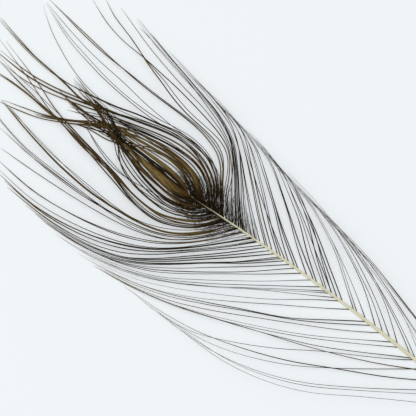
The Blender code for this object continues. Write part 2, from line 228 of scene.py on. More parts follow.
RIGHT_STRANDS = [
    (-3, 2, 0.62, 0.3, [
        (4.6, 0.6), (7.4, 6), (9, 12), (9.2, 20), (8, 28), (5.6, 35), (3.2, 41), (1.4, 48), (0.8, 56),
        (-1, 64)]),
    (-3.4, 1, 0.36, 0.0, [
        (4.8, 0), (7.8, 5), (9.6, 11), (10, 19), (9.8, 27), (10.2, 35), (10.8, 43), (11, 51), (11.6, 60),
        (13.4, 68)]),
    (-5.4, 1, 0.36, 0.1, [
        (5.4, -1.6), (9, 3), (11.4, 9), (12, 17), (11.4, 25), (10.6, 33), (10.4, 41), (11.4, 50), (13.4, 59),
        (14.8, 67), (16.6, 76)]),
    (5, 2, 0.59, 0.0, [(1.4, 9), (2.6, 16), (3.6, 24), (4.2, 32), (4, 40), (3, 48), (0.6, 57), (-1.6, 64)]),
    (3, 1, 0.78, 0.2, [
        (3.4, 8), (5.4, 14), (6.4, 21), (6.6, 29), (6.2, 37), (4.8, 45), (2.2, 53), (-0.8, 61)]),
    (0, 2, 0.78, 0.9, [
        (4, 4), (6.2, 9), (7.6, 15), (7.8, 23), (7.4, 31), (7, 39), (6.6, 47), (5, 55), (4.4, 63),
        (5.2, 72)]),
    (-2, 2, 0.86, 1.0, [
        (4.4, 2), (7, 7), (8.6, 13), (9, 21), (8.8, 29), (8.8, 37), (8.4, 45), (6.2, 52), (2.6, 59),
        (-1.4, 66), (-4.6, 74)]),
    (-4.5, 2, 0.78, 0.8, [
        (5, -1), (8.4, 4), (10.2, 10), (10.6, 18), (10, 27), (9.4, 36), (6.8, 44), (3, 52.5), (0.6, 61),
        (-3.8, 69.5), (-7, 77), (-9.6, 84)]),
    (-6.5, 2, 0.78, 0.8, [
        (6, -2.5), (9.8, 3), (12, 9), (12.6, 17), (12.4, 26), (11.4, 35), (9.8, 43), (6.4, 51), (1.4, 59.5),
        (-3.2, 69), (-7.4, 79), (-10, 89), (-12.6, 101)]),
    (-8, 2, 0.62, 0.5, [
        (6.5, -4), (10.6, 1), (13.4, 8), (14.2, 16), (14, 25), (13, 33.5), (11.4, 42), (9.4, 50), (7.4, 57),
        (4.6, 65), (2.4, 73)]),
    (-9.5, 2, 0.57, 0.3, [
        (7, -5), (11.4, 0), (14.6, 7), (15.6, 15), (15.4, 25), (13.8, 34), (12, 43), (10.6, 52), (10, 61),
        (9.6, 70), (11.2, 80), (12.6, 90), (14.2, 101), (17, 112), (21.6, 129)]),
    (-11, 3, 0.84, 0.6, [
        (8, -6.5), (13.2, -1), (17, 6.5), (18.8, 14), (19, 23), (17.6, 32), (15.4, 41), (13, 50.5), (11, 59),
        (8.8, 68), (6.8, 78), (5.2, 88), (4.4, 101), (6.2, 124)]),
    (-12, 1, 0.65, 0.5, [
        (8.4, -7.5), (14, -2), (18, 5.5), (19.6, 14), (19.6, 23.5), (18.2, 32), (15.8, 41.5), (13.6, 51),
        (12, 60), (13, 70), (16, 79)]),
    (-13.5, 2, 0.5, 0.4, [
        (9, -8.5), (15, -3), (19.6, 4.5), (21.8, 13), (21.8, 23), (20, 33), (18.2, 43.5), (15.8, 53),
        (14.2, 63), (13, 73), (12.4, 83), (13.4, 97), (15.6, 110), (20, 129)]),
    (-14.5, 2, 0.4, 0.4, [
        (9.4, -9), (16, -3.5), (20.8, 5), (22.4, 15), (21.6, 25), (20.4, 34), (20.6, 45), (21.9, 57),
        (24.2, 69), (27.4, 81), (30.4, 91), (34.2, 101), (41, 116)]),
    (-15.5, 1, 0.36, 0.1, [
        (9.8, -10), (16.6, -5), (21, 3), (22.8, 14), (22.8, 25), (23.6, 35), (25, 45), (27.4, 57),
        (29.2, 69), (31.2, 80), (34, 91), (36.6, 101), (40.6, 115)]),
    (-12.6, 1, 0.34, 0.2, [
        (8.6, -8), (14.6, -2.5), (18.8, 5), (20.4, 14), (20.2, 23.5), (18.6, 33), (16.4, 43), (14.8, 53),
        (14.6, 61), (16, 69), (18.2, 77), (21, 85), (24.4, 93), (28.8, 102), (34, 110), (41.6, 119.6)]),
    (-16.8, 2, 0.58, 0.6, [
        (9.5, -10.5), (15, -7), (20, -3.5), (24.5, 1.5), (27.6, 8), (29.8, 16), (31, 26), (31.6, 36),
        (32.2, 46), (33, 55), (33.9, 63), (35, 72), (36.4, 81), (38.2, 91), (40.2, 101), (43.6, 118)]),
    (-17.6, 2, 0.5, 0.4, [
        (9.5, -11.5), (15, -8.2), (20, -5), (24.6, -1), (28, 5), (30, 13), (32, 24), (35, 34), (38.4, 43),
        (40.6, 50), (42.8, 57), (45.2, 63), (48, 70), (51, 78), (54.4, 86), (59.6, 94.5)]),
    (-19.4, 1, 0.56, 0.2, [
        (10, -12.8), (17, -9.4), (24, -5), (29, 0), (32.4, 7), (35, 16), (37.4, 27), (39.4, 38), (41, 48),
        (43, 57), (44.6, 66), (46.2, 74), (48.6, 83), (51.6, 91), (56.8, 102)]),
    (-20.6, 1, 0.5, 0.2, [
        (10, -13.6), (18, -10), (26, -5), (32, 1.5), (37, 10), (41, 20), (44.5, 30), (47.2, 39), (49.6, 47),
        (52, 55), (54.4, 63), (56.4, 72)]),
]

# How far apart the bundles leave the shaft below the eye, as a share of the usual step.
CROWDING = {
    1: [(-154, 1.6), (-110, 1.35), (-95, 1.1), (-60, 0.78), (-45, 0.66), (-28, 0.56)],
    -1: [(-156, 2.1), (-110, 1.6), (-85, 1.1), (-70, 0.9), (-55, 0.82), (-40, 0.72)],
}

# Width of the barbs below the eye, as a share of the usual width, by where they leave the shaft.
VANE_WIDTHS = {
    1: [(-154, 0.62), (-120, 0.72), (-90, 0.90), (-60, 1.05), (-28, 1.12)],
    -1: [(-156, 0.60), (-120, 0.74), (-90, 0.92), (-70, 1.0), (-40, 1.05)],
}

# Bundles below the eye, from which each one draws.
COUNT_CHOICES = (-1, 0, 0, 1)  # barbs more or fewer than usual
WIDTH_CHOICES = {1: (0.75, 0.9, 1.0, 1.0, 1.2), -1: (0.6, 0.8, 1.0, 1.15, 1.4)}
GOLD_CHOICES = (0.0, 0.05, 0.1, 0.2, 0.45)  # share of its barbs that are golden
STEP_SPREAD = (0.8, 1.2)  # how unevenly the bundles leave the shaft
VANE_DRIFT = 1.5  # how far its barbs may drift apart, in steps
VANE_THINNING = {1: (0.22, 0.30), -1: (0.3, 0.46)}

# Vanes below the eye: the side, between which places they leave the shaft, and the seed of their draws.
VANES = {
    "right_barbs": (1, -154.0, -28.5, 11),
    "left_barbs": (-1, -156.0, -40.5, 21),
}

# Eye barbs: the side, the bundles, the strands and the seed of their draws.
EYE_SIDES = {
    "right_eye_barbs": (1, RIGHT_BUNDLES, RIGHT_STRANDS, 31),
    "left_eye_barbs": (-1, LEFT_BUNDLES, LEFT_STRANDS, 41),
}
FOOT_SEED = 61
BROAD_SEED = 52

# Every barb. Shares are of its length.
STRAY = (0.30, 0.14)  # sizes of the waves that it strays sideways by
STRAYS_BY = 0.3  # it strays in full from this share on
TURNS = (0.5, 0.3)  # sizes of the waves that it turns by
ROOT_TURN = 0.35  # its greatest turn where it leaves the shaft
ROOT_WIDTH = 0.44  # its width there
FULL_BY = 0.12  # it has its full width at this share
THINNED_BY = 0.95  # it has thinned to its tip's width at this share
LEAST_TIP_WIDTH = 0.13  # no tip is thinner before it ends
ENDS_FROM = 0.93  # the very end tapers from this share
END_TAPER = 0.8  # and loses this part of its width
GLANCE = 0.01  # the way on is read from this share behind to this share ahead
WAVE_TURNS = (0.6, 1.0)  # how often the slowest of its waves comes and goes
ARCH_EARLY = 0.8  # below 1, its arch is highest before its middle
ARCH_POWER = 1.2  # above 1, the arch rises slowly from its ends
GOLDEN = (0.7, 1.0)  # how golden a golden barb is
HARDLY_GOLDEN = (0.0, 0.12)  # how golden a dark one is

# Barbs of a bundle. A thinning is the share that a barb thins from and its tip's part of its width.
BUNDLE_RINGS = 26  # sections along a barb
ROOT_SPREAD = 0.12  # how unevenly they leave the shaft, in bundles' steps
BUNDLE_REACH = (0.84, 0.99)  # how much of the route all but the first one follow
HOLD = (0.35, 0.92)  # how closely they are drawn together
DRAWN_BY = 0.32  # they are drawn together at this share
PARTS_FROM = 0.6  # and part again from this share
PARTING = 0.35  # this much of the way back
BUNDLE_LIFT_SPREAD = 0.5  # how far their arches differ
BUNDLE_WIDTH_SPREAD = (0.82, 1.15)  # how far their widths differ
BUNDLE_DRIFT = 0.8  # how far those beside the eye drift apart
BUNDLE_THINNING = (0.5, 0.72)

# Barbs of a strand.
STRAND_RINGS = 46
STRAND_PITCH = 1.12  # how far apart they lie, in widths
ROAM = (0.34, 0.26, 0.16)  # sizes of the waves that each roams by
ROAMS_BY = 0.1  # it roams in full from this share on
STRAND_REACH = (0.97, 1.0)
STRAND_LIFT_SPREAD = 0.7
STRAND_WIDTH_SPREAD = (0.8, 1.15)
STRAND_THINNING = (0.6, 0.74)

# Broad barbs.
BROAD_RINGS = 40
BROAD_ENDS = (0.5, 0.4)  # widths at root and tip
BROAD_THINS_FROM = 0.28
BROAD_TWIST = 0.12  # greatest turn
BROAD_TWIST_PITCH = 5  # how fast the turn comes and goes along a barb

# Short barbs in the foot of the eye.
FOOT_ZONE = (-38.0, -1.5)  # where they leave the shaft
FOOT_BARBS = {1: 180, -1: 120}
SHORT_RINGS = 9
SHORT_LENGTH = (0.08, 0.14)  # their length, as shares of the long barbs' route
LONGER_BY_EYE = 0.14  # and how much more it may be at the zone's upper end
SHORT_LEAN = 0.9  # how far they lean across the long barbs
LEAN_REACH = 4.0  # how far a full lean takes the tip
LEAN_POWER = 1.4  # how late the lean sets in
LEAN_ACROSS = 0.5  # slope of the way that they lean
SHORT_LIFT = (0.2, 3.2)  # height of their arch
SHORT_ARCH = 0.75  # how much of a whole arch they make
SHORT_CURL = (0.5, 0.35)  # sizes of the waves that they curl by
SHAFT_ROOM = 0.35  # how far they stay from the shaft's middle
SHORT_HALF_WIDTHS = (0.13, 0.05)  # at root and tip
SHORT_TURN = 0.6

# Hairs left on the long barbs by the foot of the eye.
HAIR_ZONE_AT = -8.0  # middle of the zone that they grow in
HAIR_ZONE_HALF = 18.0  # half its length
HAIRS_REACH = 15.0  # how far along a barb they grow
HAIRS_EACH = 3  # hairs on each stretch between two sections
HAIR_TURN = (0.5, 1.0)  # how steeply they leave the barb
HAIR_LENGTH = (0.9, 2.2)
HAIR_RISE = (-0.3, 0.5)  # how far the tip lies above or below the root
HAIR_SWEEP = 0.35  # how far the tip is swept along the barb, as a share of the length
HAIR_FLOOR = 0.12  # least height over the floor
HAIR_SHARES = (0.0, 0.4, 0.75, 1.0)  # where their sections lie
HAIR_HALF_WIDTHS = (0.06, 0.055, 0.045, 0.03)

# Keratins of the barbs: from and to which distance from the shaft they may be golden, and how pale root and
# tip are.
KERATINS = {
    "dark keratin": (6.0, 70.0, 0.8, 0.8),
    "eye keratin": (8.0, 34.0, 0.2, 0.85),
    "golden keratin": (6.0, 40.0, 0.1, 0.2),
    "black keratin": (6.0, 70.0, 0.0, 0.2),
}
ZONE_SPAN = 150.0  # length of barb that the keratin's zones are laid out over
GOLD_COMES_IN = 9.0
GOLD_GOES_IN = 22.0
GOLD_FACE = 1.15  # how far round a barb its golden face reaches
RIDGE_GLEAM = 0.18  # how much brighter the ridges on that face are
GOLD_WARMTH = 0.7  # how brown a golden barb is beside its face
STREAK_WARMTH = 0.34  # how brown the streaks of every barb are
BARB_RIDGE_STEP = 0.55
BARB_SPECULAR = 0.10

# Keratin of the shaft, with a painted highlight along its top and painted shade down its sides.
SHAFT_RIDGE_STEP = 2.6
SHAFT_LIGHT = 0.42  # how much of the cream its sides have
SHAFT_MOTTLE = 0.4  # how much of it the streaks take away
SHAFT_SIDES_AND_SHADE = (0.20, 0.135, 0.050, 1.0)  # colour down its sides, partly their own darker keratin and partly painted shade
SHAFT_END = (0.10, 0.062, 0.020, 1.0)  # colour of its thin end inside the eye

# Streaks and ridges of every keratin.
STREAK_SCALES = (("Along", 0.25), ("Around", 22.0), ("Chance", 40.0))  # how fast they change by each input
STREAK_DETAIL = 3.0
RIDGE_LEAN = 1.5  # how many ridges one turn round a barb crosses
RIDGE_HEIGHT = 0.6  # how high a ridge is beside a streak

# Stage, in metres: the floor, the lights with name, place, size and power, the sky and the camera.
FLOOR_SIZE = 8.0
FLOOR_ROUGHNESS = 0.8
FLOOR_GLOW = 0.42
LIGHTS = (
    ("overhead light", (0.0, 0.1, 1.6), 2.4, 10.0),
    ("side light", (-1.3, 0.9, 1.0), 1.4, 4.5),
)
SKY_COLOUR = (0.93, 0.97, 1.0, 1.0)
SKY_STRENGTH = 0.42
CAMERA_AZIMUTH = math.radians(-54.1)
CAMERA_ELEVATION = math.radians(70.0)
CAMERA_DISTANCE = 0.520
CAMERA_LENS = 100.0
CAMERA_SENSOR = 36.0
CAMERA_NEAR = 0.01
# Where the camera looks, in millimetres from the foot of the eye.
CAMERA_TARGET = Vector((0.93, -9.33, 0.0))

# Sockets of a colour mix: the share, the first colour and the second, and its result.
MIX_INPUTS = (0, 6, 7)
MIX_OUTPUT = 2


class FeatherSettings(bpy.types.PropertyGroup):
    """Sizes, counts and colours that a user would change."""

    barb_step: FloatProperty(
        name="Bundle step", description="Distance along the shaft between two bundles of barbs below the eye",
        default=0.0092, min=0.001, max=0.02, unit="LENGTH")
    barb_width: FloatProperty(
        name="Barb width", description="Usual width of a barb below the eye",
        default=0.00040, min=0.0001, max=0.003, unit="LENGTH")
    barbs_in_bundle: IntProperty(
        name="Barbs in a bundle", description="Usual number of barbs that lie along one another",
        default=3, min=1, max=8)
    lift_least: FloatProperty(
        name="Least arch", description="How high the flattest barbs arch over the floor",
        default=0.0005, min=0.0, max=0.01, unit="LENGTH")
    lift_most: FloatProperty(
        name="Highest arch", description="How high the most arched barbs rise over the floor",
        default=0.0046, min=0.0, max=0.01, unit="LENGTH")
    dark: FloatVectorProperty(
        name="Dark keratin", description="Colour of dark barbs",
        subtype="COLOR", size=3, default=(0.0080, 0.0070, 0.0015), min=0.0, max=1.0)
    brown: FloatVectorProperty(
        name="Brown keratin", description="Colour of brown barbs",
        subtype="COLOR", size=3, default=(0.092, 0.044, 0.008), min=0.0, max=1.0)
    gold: FloatVectorProperty(
        name="Golden keratin", description="Colour of the golden olive faces of the eye's barbs",
        subtype="COLOR", size=3, default=(0.300, 0.212, 0.070), min=0.0, max=1.0)
    tip: FloatVectorProperty(
        name="Tips", description="Colour of the thin ends of the barbs",
        subtype="COLOR", size=3, default=(0.22, 0.150, 0.050), min=0.0, max=1.0)
    cream: FloatVectorProperty(
        name="Cream keratin", description="Colour of the shaft",
        subtype="COLOR", size=3, default=(1.0, 0.95, 0.66), min=0.0, max=1.0)
    floor: FloatVectorProperty(
        name="Floor", description="Colour of the floor",
        subtype="COLOR", size=3, default=(0.790, 0.815, 0.830), min=0.0, max=1.0)


def settings():
    return bpy.context.scene.feather_settings


def colour(name):
    return (*getattr(settings(), name), 1.0)


def between(rows, at):
    """Read a value from rows of (place, value), straight from one to the next."""
    if at <= rows[0][0]:
        return rows[0][1]
    for (low, first), (high, second) in zip(rows, rows[1:]):
        if at <= high:
            return first + (second - first) * (at - low) / (high - low)
    return rows[-1][1]


def eased(low, high, value):
    """From 0 at low to 1 at high, smoothly."""
    share = min(max((value - low) / (high - low), 0.0), 1.0)
    return share * share * (3 - 2 * share)


def mix(first, second, share):
    return first + (second - first) * share


def shaft_x(y):
    """Where the bowed shaft runs at this place along it."""
    return SHAFT_BOW_X - (y - SHAFT_BOW_AT) ** 2 / (2 * SHAFT_BOW_RADIUS)


def smooth(points, share):
    """A point at this share of a smooth curve through the points."""
    last = len(points) - 1
    place = min(max(share, 0.0), 0.99999) * last
    index = int(place)
    f = place - index
    a, b = points[max(index - 1, 0)], points[index]
    c, d = points[index + 1], points[min(index + 2, last)]
    return (a * (-f + 2 * f * f - f ** 3) + b * (2 - 5 * f * f + 3 * f ** 3)
            + c * (f + 4 * f * f - 3 * f ** 3) + d * (f ** 3 - f * f)) / 2


def sideways(path, share):
    """The direction square to a path at this share of it, to the right of the way on."""
    ahead = path(min(share + GLANCE, 1.0)) - path(max(share - GLANCE, 0.0))
    return Vector((ahead.y, -ahead.x)).normalized()


def with_root(row):
    """The points of a route, from where it leaves the shaft."""
    root, points = row
    return [Vector((shaft_x(root), root))] + [Vector(point) for point in points]


ROUTES = {
    1: [(row[0], with_root(row)) for row in RIGHT_ROUTES],
    -1: [(row[0], with_root(row)) for row in LEFT_ROUTES],
}


def route(side, root, share):
    """A point at this share of the barb that leaves the shaft at root, from the two routes beside it."""
    rows = ROUTES[side]
    for low, high in zip(rows, rows[1:]):
        if root <= high[0]:
            break
    nearness = min(max((root - low[0]) / (high[0] - low[0]), 0.0), 1.0)
    return smooth(low[1], share).lerp(smooth(high[1], share), nearness)


def arch(share):
    """How far up its arch a barb is, at this share of its length."""
    return math.sin(math.pi * share ** ARCH_EARLY) ** ARCH_POWER


class Barb:
    """One barb: its path, its half widths, its turns, how golden it is and whether it is flat."""

    def __init__(self, places, halves, turns, gold, flat=False):
        self.places = places
        self.halves = halves
        self.turns = turns
        self.gold = gold
        self.flat = flat


def barb_half_width(share, width, root_width, tip_width, thin_from):
    """Half the width at this share of a barb, which widens from its root and thins to its tip."""
    if share < FULL_BY:
        return mix(root_width, width, eased(0.0, FULL_BY, share)) / 2
    full = mix(width, tip_width, eased(thin_from, THINNED_BY, share))
    return full * (1 - END_TAPER * eased(ENDS_FROM, 1.0, share)) / 2


def wave(rng, sizes):
    """A gentle wandering curve that is 0 at 0."""
    parts = []
    for i, size in enumerate(sizes):
        turns = rng.uniform(*WAVE_TURNS) * (i + 1)
        parts.append((size, turns, rng.uniform(0, math.tau)))
    return lambda share: sum(
        size * (math.sin(math.tau * turns * share + phase) - math.sin(phase)) for size, turns, phase in parts)


def grow(rng, path, reach, width, lift, gold, rings, thinning):
    """A barb along a path, which gives a flat place for each share of the way to the tip."""
    thin_from, tip = thinning
    places = []
    halves = []
    turns = []
    stray = wave(rng, STRAY)
    turn = wave(rng, TURNS)
    root_turn = rng.uniform(-ROOT_TURN, ROOT_TURN)
    for ring in range(rings):
        along = ring / (rings - 1)
        share = reach * along
        here = path(share) + sideways(path, share) * stray(share) * eased(0.0, STRAYS_BY, share)
        half = barb_half_width(along, width, ROOT_WIDTH, max(LEAST_TIP_WIDTH, width * tip), thin_from)
        angle = root_turn + turn(share)
        stands = half * (abs(math.sin(angle)) + WIRY_DEPTH * abs(math.cos(angle))) + CLEARANCE
        height = mix(ROOT_HEIGHT, TIP_HEIGHT, share) + lift * arch(share)
        places.append(Vector((here.x, here.y, max(height, stands))))
        halves.append(half)
        turns.append(angle)
    return Barb(places, halves, turns, gold)


def faces(rng, gold):
    """How golden one barb is, where this share of the barbs is golden."""
    return rng.uniform(*GOLDEN) if rng.random() < gold else rng.uniform(*HARDLY_GOLDEN)


def lifts(rng):
    """How high barbs that lie together arch, and a function that gives each of them an arch near that."""
    least, most = settings().lift_least / MM, settings().lift_most / MM
    lift = rng.uniform(least, most)
    return lambda spread: min(max(lift + rng.uniform(-spread, spread), least), most)


def drawn(side, root, heart, hold, drift):
    """A path from root that is drawn to the barb at heart and parts from it again."""
    def path(share):
        pull = hold * eased(0.0, DRAWN_BY, share) * (1 - PARTING * eased(PARTS_FROM, 1.0, share))
        return route(side, root + (heart - root) * pull + drift * share, share)
    return path


def bundle(rng, side, heart, count, spread, width, gold, drift, thinning):
    """Barbs that leave the shaft side by side and are drawn together in a loose bundle."""
    own_lift = lifts(rng)
    barbs = []
    for i in range(count):
        root = heart + spread * ((i + 0.5) / count - 0.5 + rng.uniform(-ROOT_SPREAD, ROOT_SPREAD))
        reach = 1.0 if i == 0 else rng.uniform(*BUNDLE_REACH)
        own_drift = drift * rng.choice((0.0, 0.0, 1.0)) * rng.uniform(-1.0, 1.0)
        path = drawn(side, root, heart, rng.uniform(*HOLD), own_drift)
        lift = own_lift(BUNDLE_LIFT_SPREAD)
        own_width = width * rng.uniform(*BUNDLE_WIDTH_SPREAD)
        barbs.append(grow(rng, path, reach, own_width, lift, faces(rng, gold), BUNDLE_RINGS, thinning))
    return barbs


def beside(nodes, aside, roam):
    """A path that keeps aside of a smooth curve through the nodes and roams a little."""
    def middle(share):
        return smooth(nodes, share)

    def path(share):
        return middle(share) + sideways(middle, share) * (aside + roam(share)) * eased(0.0, ROAMS_BY, share)
    return path


def strand(rng, root, count, width, gold, points):
    """Barbs that lie along one another on a route of their own."""
    own_lift = lifts(rng)
    barbs = []
    for i in range(count):
        aside = (i - (count - 1) / 2) * width * STRAND_PITCH
        path = beside(with_root((root + aside, points)), aside, wave(rng, ROAM))
        lift = own_lift(STRAND_LIFT_SPREAD)
        own_width = width * rng.uniform(*STRAND_WIDTH_SPREAD)
        reach = rng.uniform(*STRAND_REACH)
        barbs.append(grow(rng, path, reach, own_width, lift, faces(rng, gold), STRAND_RINGS, STRAND_THINNING))
    return barbs


def vane_barbs(rng, side, low, high):
    """Barbs below the eye, single at the shaft and drawn together in loose bundles further out."""
    step = settings().barb_step / MM
    width = settings().barb_width / MM
    usual = settings().barbs_in_bundle
    barbs = []
    root = low
    while root < high:
        gap = step * between(CROWDING[side], root)
        count = max(1, usual + rng.choice(COUNT_CHOICES))
        own_width = width * between(VANE_WIDTHS[side], root) * rng.choice(WIDTH_CHOICES[side])
        gold = rng.choice(GOLD_CHOICES)
        barbs += bundle(
            rng, side, root + gap / 2, count, gap, own_width, gold, gap * VANE_DRIFT, VANE_THINNING[side])
        root += gap * rng.uniform(*STEP_SPREAD)
    return barbs


def eye_barbs(name):
    """Barbs of one side of the eye, in bundles beside it and in strands that sweep round it."""
    side, bundles, strands, seed = EYE_SIDES[name]
    rng = random.Random(seed)
    barbs = []
    for heart, count, spread, width, gold in bundles:
        barbs += bundle(rng, side, heart, count, spread, width, gold, BUNDLE_DRIFT, BUNDLE_THINNING)
    for row in strands:
        barbs += strand(rng, *row)
    return barbs


def broad_barb(width, height, gold, row):
    """One flat barb of the eye's middle, twisted a little."""
    points = with_root(row)
    places = []
    halves = []
    turns = []
    for ring in range(BROAD_RINGS):
        share = ring / (BROAD_RINGS - 1)
        here = smooth(points, share)
        places.append(Vector((here.x, here.y, ROOT_HEIGHT + height * arch(share))))
        halves.append(barb_half_width(share, width, *BROAD_ENDS, BROAD_THINS_FROM))
        turns.append(BROAD_TWIST * math.sin(BROAD_TWIST_PITCH * share + width))
    return Barb(places, halves, turns, gold, flat=True)


def short_barbs(rng, side):
    """Short curling barbs at the foot of the eye, which leave the shaft a little across the long ones."""
    across = Vector((LEAN_ACROSS * side, 1.0)).normalized()
    barbs = []
    for _ in range(FOOT_BARBS[side]):
        rise = math.sqrt(rng.random())
        root = mix(*FOOT_ZONE, rise)
        length = rng.uniform(SHORT_LENGTH[0], SHORT_LENGTH[1] + LONGER_BY_EYE * rise)
        lean = rng.uniform(-SHORT_LEAN, SHORT_LEAN) * LEAN_REACH
        lift = rng.uniform(*SHORT_LIFT)
        places = []
        halves = []
        curl = wave(rng, SHORT_CURL)
        for ring in range(SHORT_RINGS):
            share = ring / (SHORT_RINGS - 1)
            here = route(side, root, share * length) + across * (lean * share ** LEAN_POWER + curl(share))
            middle = shaft_x(here.y)
            x = middle + side * max(side * (here.x - middle), SHAFT_ROOM + share)
            places.append(Vector((x, here.y, ROOT_HEIGHT + lift * math.sin(math.pi * share * SHORT_ARCH))))
            halves.append(mix(*SHORT_HALF_WIDTHS, share))
        turn = rng.uniform(-SHORT_TURN, SHORT_TURN)
        barbs.append(Barb(places, halves, [turn] * SHORT_RINGS, 0.0))
    return barbs


def hair(rng, start, on):
    """One hair from a place on a barb whose way on is given, across it and bent along it."""
    turn = rng.choice((-1, 1)) * rng.uniform(*HAIR_TURN)
    out = Vector((on.x * math.cos(turn) - on.y * math.sin(turn),
                  on.x * math.sin(turn) + on.y * math.cos(turn)))
    length = rng.uniform(*HAIR_LENGTH)
    rise = rng.uniform(*HAIR_RISE)
    places = []
    for share in HAIR_SHARES:
        here = Vector((start.x, start.y)) + out * length * share + on * length * HAIR_SWEEP * share * share
        places.append(Vector((here.x, here.y, max(start.z + rise * share, HAIR_FLOOR))))
    return Barb(places, HAIR_HALF_WIDTHS, [0.0] * len(places), 0.0)


def hairs(rng, barbs):
    """Short hairs left on the long barbs near the foot of the eye."""
    grown = []
    for barb in barbs:
        walked = 0.0
        for a, b in zip(barb.places, barb.places[1:]):
            step = b - a
            walked += step.length
            if walked > HAIRS_REACH or abs(a.y - HAIR_ZONE_AT) > HAIR_ZONE_HALF:
                continue
            on = Vector((step.x, step.y)).normalized()
            for _ in range(HAIRS_EACH):
                grown.append(hair(rng, a.lerp(b, rng.random()), on))
    return grown


def deselect_all():
    if bpy.context.object and bpy.context.object.mode != "OBJECT":
        bpy.ops.object.mode_set(mode="OBJECT")
    bpy.ops.object.select_all(action="DESELECT")


def section_curve(name, section):
    """A closed flat curve in the shape of a section."""
    deselect_all()
    bpy.ops.curve.primitive_bezier_circle_add(radius=1.0)
    outline = bpy.context.object
    outline.name = name
    outline.data.splines.clear()
    outline.data.dimensions = "2D"
    outline.data.fill_mode = "NONE"
    spline = outline.data.splines.new("POLY")
    spline.points.add(len(section) - 1)
    for point, (x, y) in zip(spline.points, section):
        point.co = (x, y, 0.0, 1.0)
    spline.use_cyclic_u = True
    return outline


def swept(name, section, barbs):
    """A mesh of the section swept along each barb, joined in millimetres and then brought down to metres."""
    outline = section_curve(f"{name} section", section)
    deselect_all()
    bpy.ops.curve.primitive_bezier_curve_add()
    piece = bpy.context.object
    piece.name = name
    curve = piece.data
    curve.splines.clear()
    curve.dimensions = "3D"
    curve.twist_mode = "Z_UP"
    curve.bevel_mode = "OBJECT"
    curve.bevel_object = outline
    curve.use_fill_caps = True
    for barb in barbs:
        spline = curve.splines.new("POLY")
        spline.points.add(len(barb.places) - 1)
        for point, place, half, turn in zip(spline.points, barb.places, barb.halves, barb.turns):
            point.co = (*(place + EYE_FOOT), 1.0)
            point.radius = half
            point.tilt = turn
    bpy.ops.object.convert(target="MESH")
    piece = bpy.context.object
    bpy.data.objects.remove(outline, do_unlink=True)
    bpy.ops.object.mode_set(mode="EDIT")
    bpy.ops.mesh.select_all(action="SELECT")
    bpy.ops.mesh.remove_doubles(threshold=MERGE_DISTANCE)
    bpy.ops.mesh.normals_make_consistent(inside=False)
    bpy.ops.object.mode_set(mode="OBJECT")
    piece.scale = (MM, MM, MM)
    bpy.ops.object.transform_apply(location=False, rotation=False, scale=True)
    bpy.ops.object.shade_smooth_by_angle(angle=SMOOTH_ANGLE)
    return piece


def islands(mesh):
    """The points of each separate shell, in the order of their first point."""
    owner = list(range(len(mesh.vertices)))

    def find(i):
        while owner[i] != i:
            owner[i] = owner[owner[i]]
            i = owner[i]
        return i

    for edge in mesh.edges:
        a, b = find(edge.vertices[0]), find(edge.vertices[1])
        if a != b:
            owner[max(a, b)] = min(a, b)
    groups = {}
    for i in range(len(mesh.vertices)):
        groups.setdefault(find(i), []).append(i)
    return [groups[key] for key in sorted(groups)]


def mark(piece, barbs, seed):
    """Keep each barb's gold, its own chance value and the distance from its root at its points."""
    mesh = piece.data
    gold = mesh.attributes.new("gold", "FLOAT", "POINT")
    chance = mesh.attributes.new("chance", "FLOAT", "POINT")
    far = mesh.attributes.new("from_root", "FLOAT", "POINT")
    groups = islands(mesh)
    if len(groups) != len(barbs):
        raise RuntimeError(f"{piece.name} has {len(groups)} shells and not {len(barbs)}")
    stations = [(n, place) for n, barb in enumerate(barbs) for place in barb.places]
    tree = KDTree(len(stations))
    for i, (_, place) in enumerate(stations):
        tree.insert((place + EYE_FOOT) * MM, i)
    tree.balance()
    rng = random.Random(seed)
    chances = [rng.random() for _ in barbs]
    for group in groups:
        votes = Counter(stations[tree.find(mesh.vertices[i].co)[1]][0] for i in group)
        number = votes.most_common(1)[0][0]
        places = barbs[number].places
        lengths = [0.0]
        for a, b in zip(places, places[1:]):
            lengths.append(lengths[-1] + (b - a).length)
        for i in group:
            here = mesh.vertices[i].co / MM - EYE_FOOT
            ring = min(range(len(places)), key=lambda n: (places[n] - here).length_squared)
            gold.data[i].value = barbs[number].gold
            chance.data[i].value = chances[number]
            far.data[i].value = lengths[ring]


def adopt(piece, material):
    """Give a finished piece its material and its place in the frame."""
    piece.data.materials.clear()
    piece.data.materials.append(material)
    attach(piece, BODY)
    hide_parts(NODE)


def barb_piece(name, barbs, seed, keratin_name):
    """One piece of all these barbs, in the keratin of that name."""
    section = FLAT_SECTION if any(barb.flat for barb in barbs) else WIRY_SECTION
    piece = swept(name, section, barbs)
    mark(piece, barbs, seed)
    adopt(piece, barb_material(keratin_name))


def new_group(name, inputs, outputs):
    """An empty shader group with these number sockets, each input with its default."""
    group = bpy.data.node_groups.new(name, "ShaderNodeTree")
    for label, value in inputs:
        group.interface.new_socket(label, in_out="INPUT", socket_type="NodeSocketFloat").default_value = value
    for label in outputs:
        group.interface.new_socket(label, in_out="OUTPUT", socket_type="NodeSocketFloat")
    return group


def add_node(tree, kind, **values):
    node = tree.nodes.new(kind)
    for key, value in values.items():
        setattr(node, key, value)
    return node


def feed(tree, socket, value):
    """Link a socket to another one, or set it to a plain value."""
    if isinstance(value, bpy.types.NodeSocket):
        tree.links.new(value, socket)
    else:
        socket.default_value = value


def reckon(tree, operation, *values, clamp=False):
    """The result of a sum, a product or the like of sockets and numbers."""
    node = add_node(tree, "ShaderNodeMath", operation=operation, use_clamp=clamp)
    for socket, value in zip(node.inputs, values):
        feed(tree, socket, value)
    return node.outputs[0]


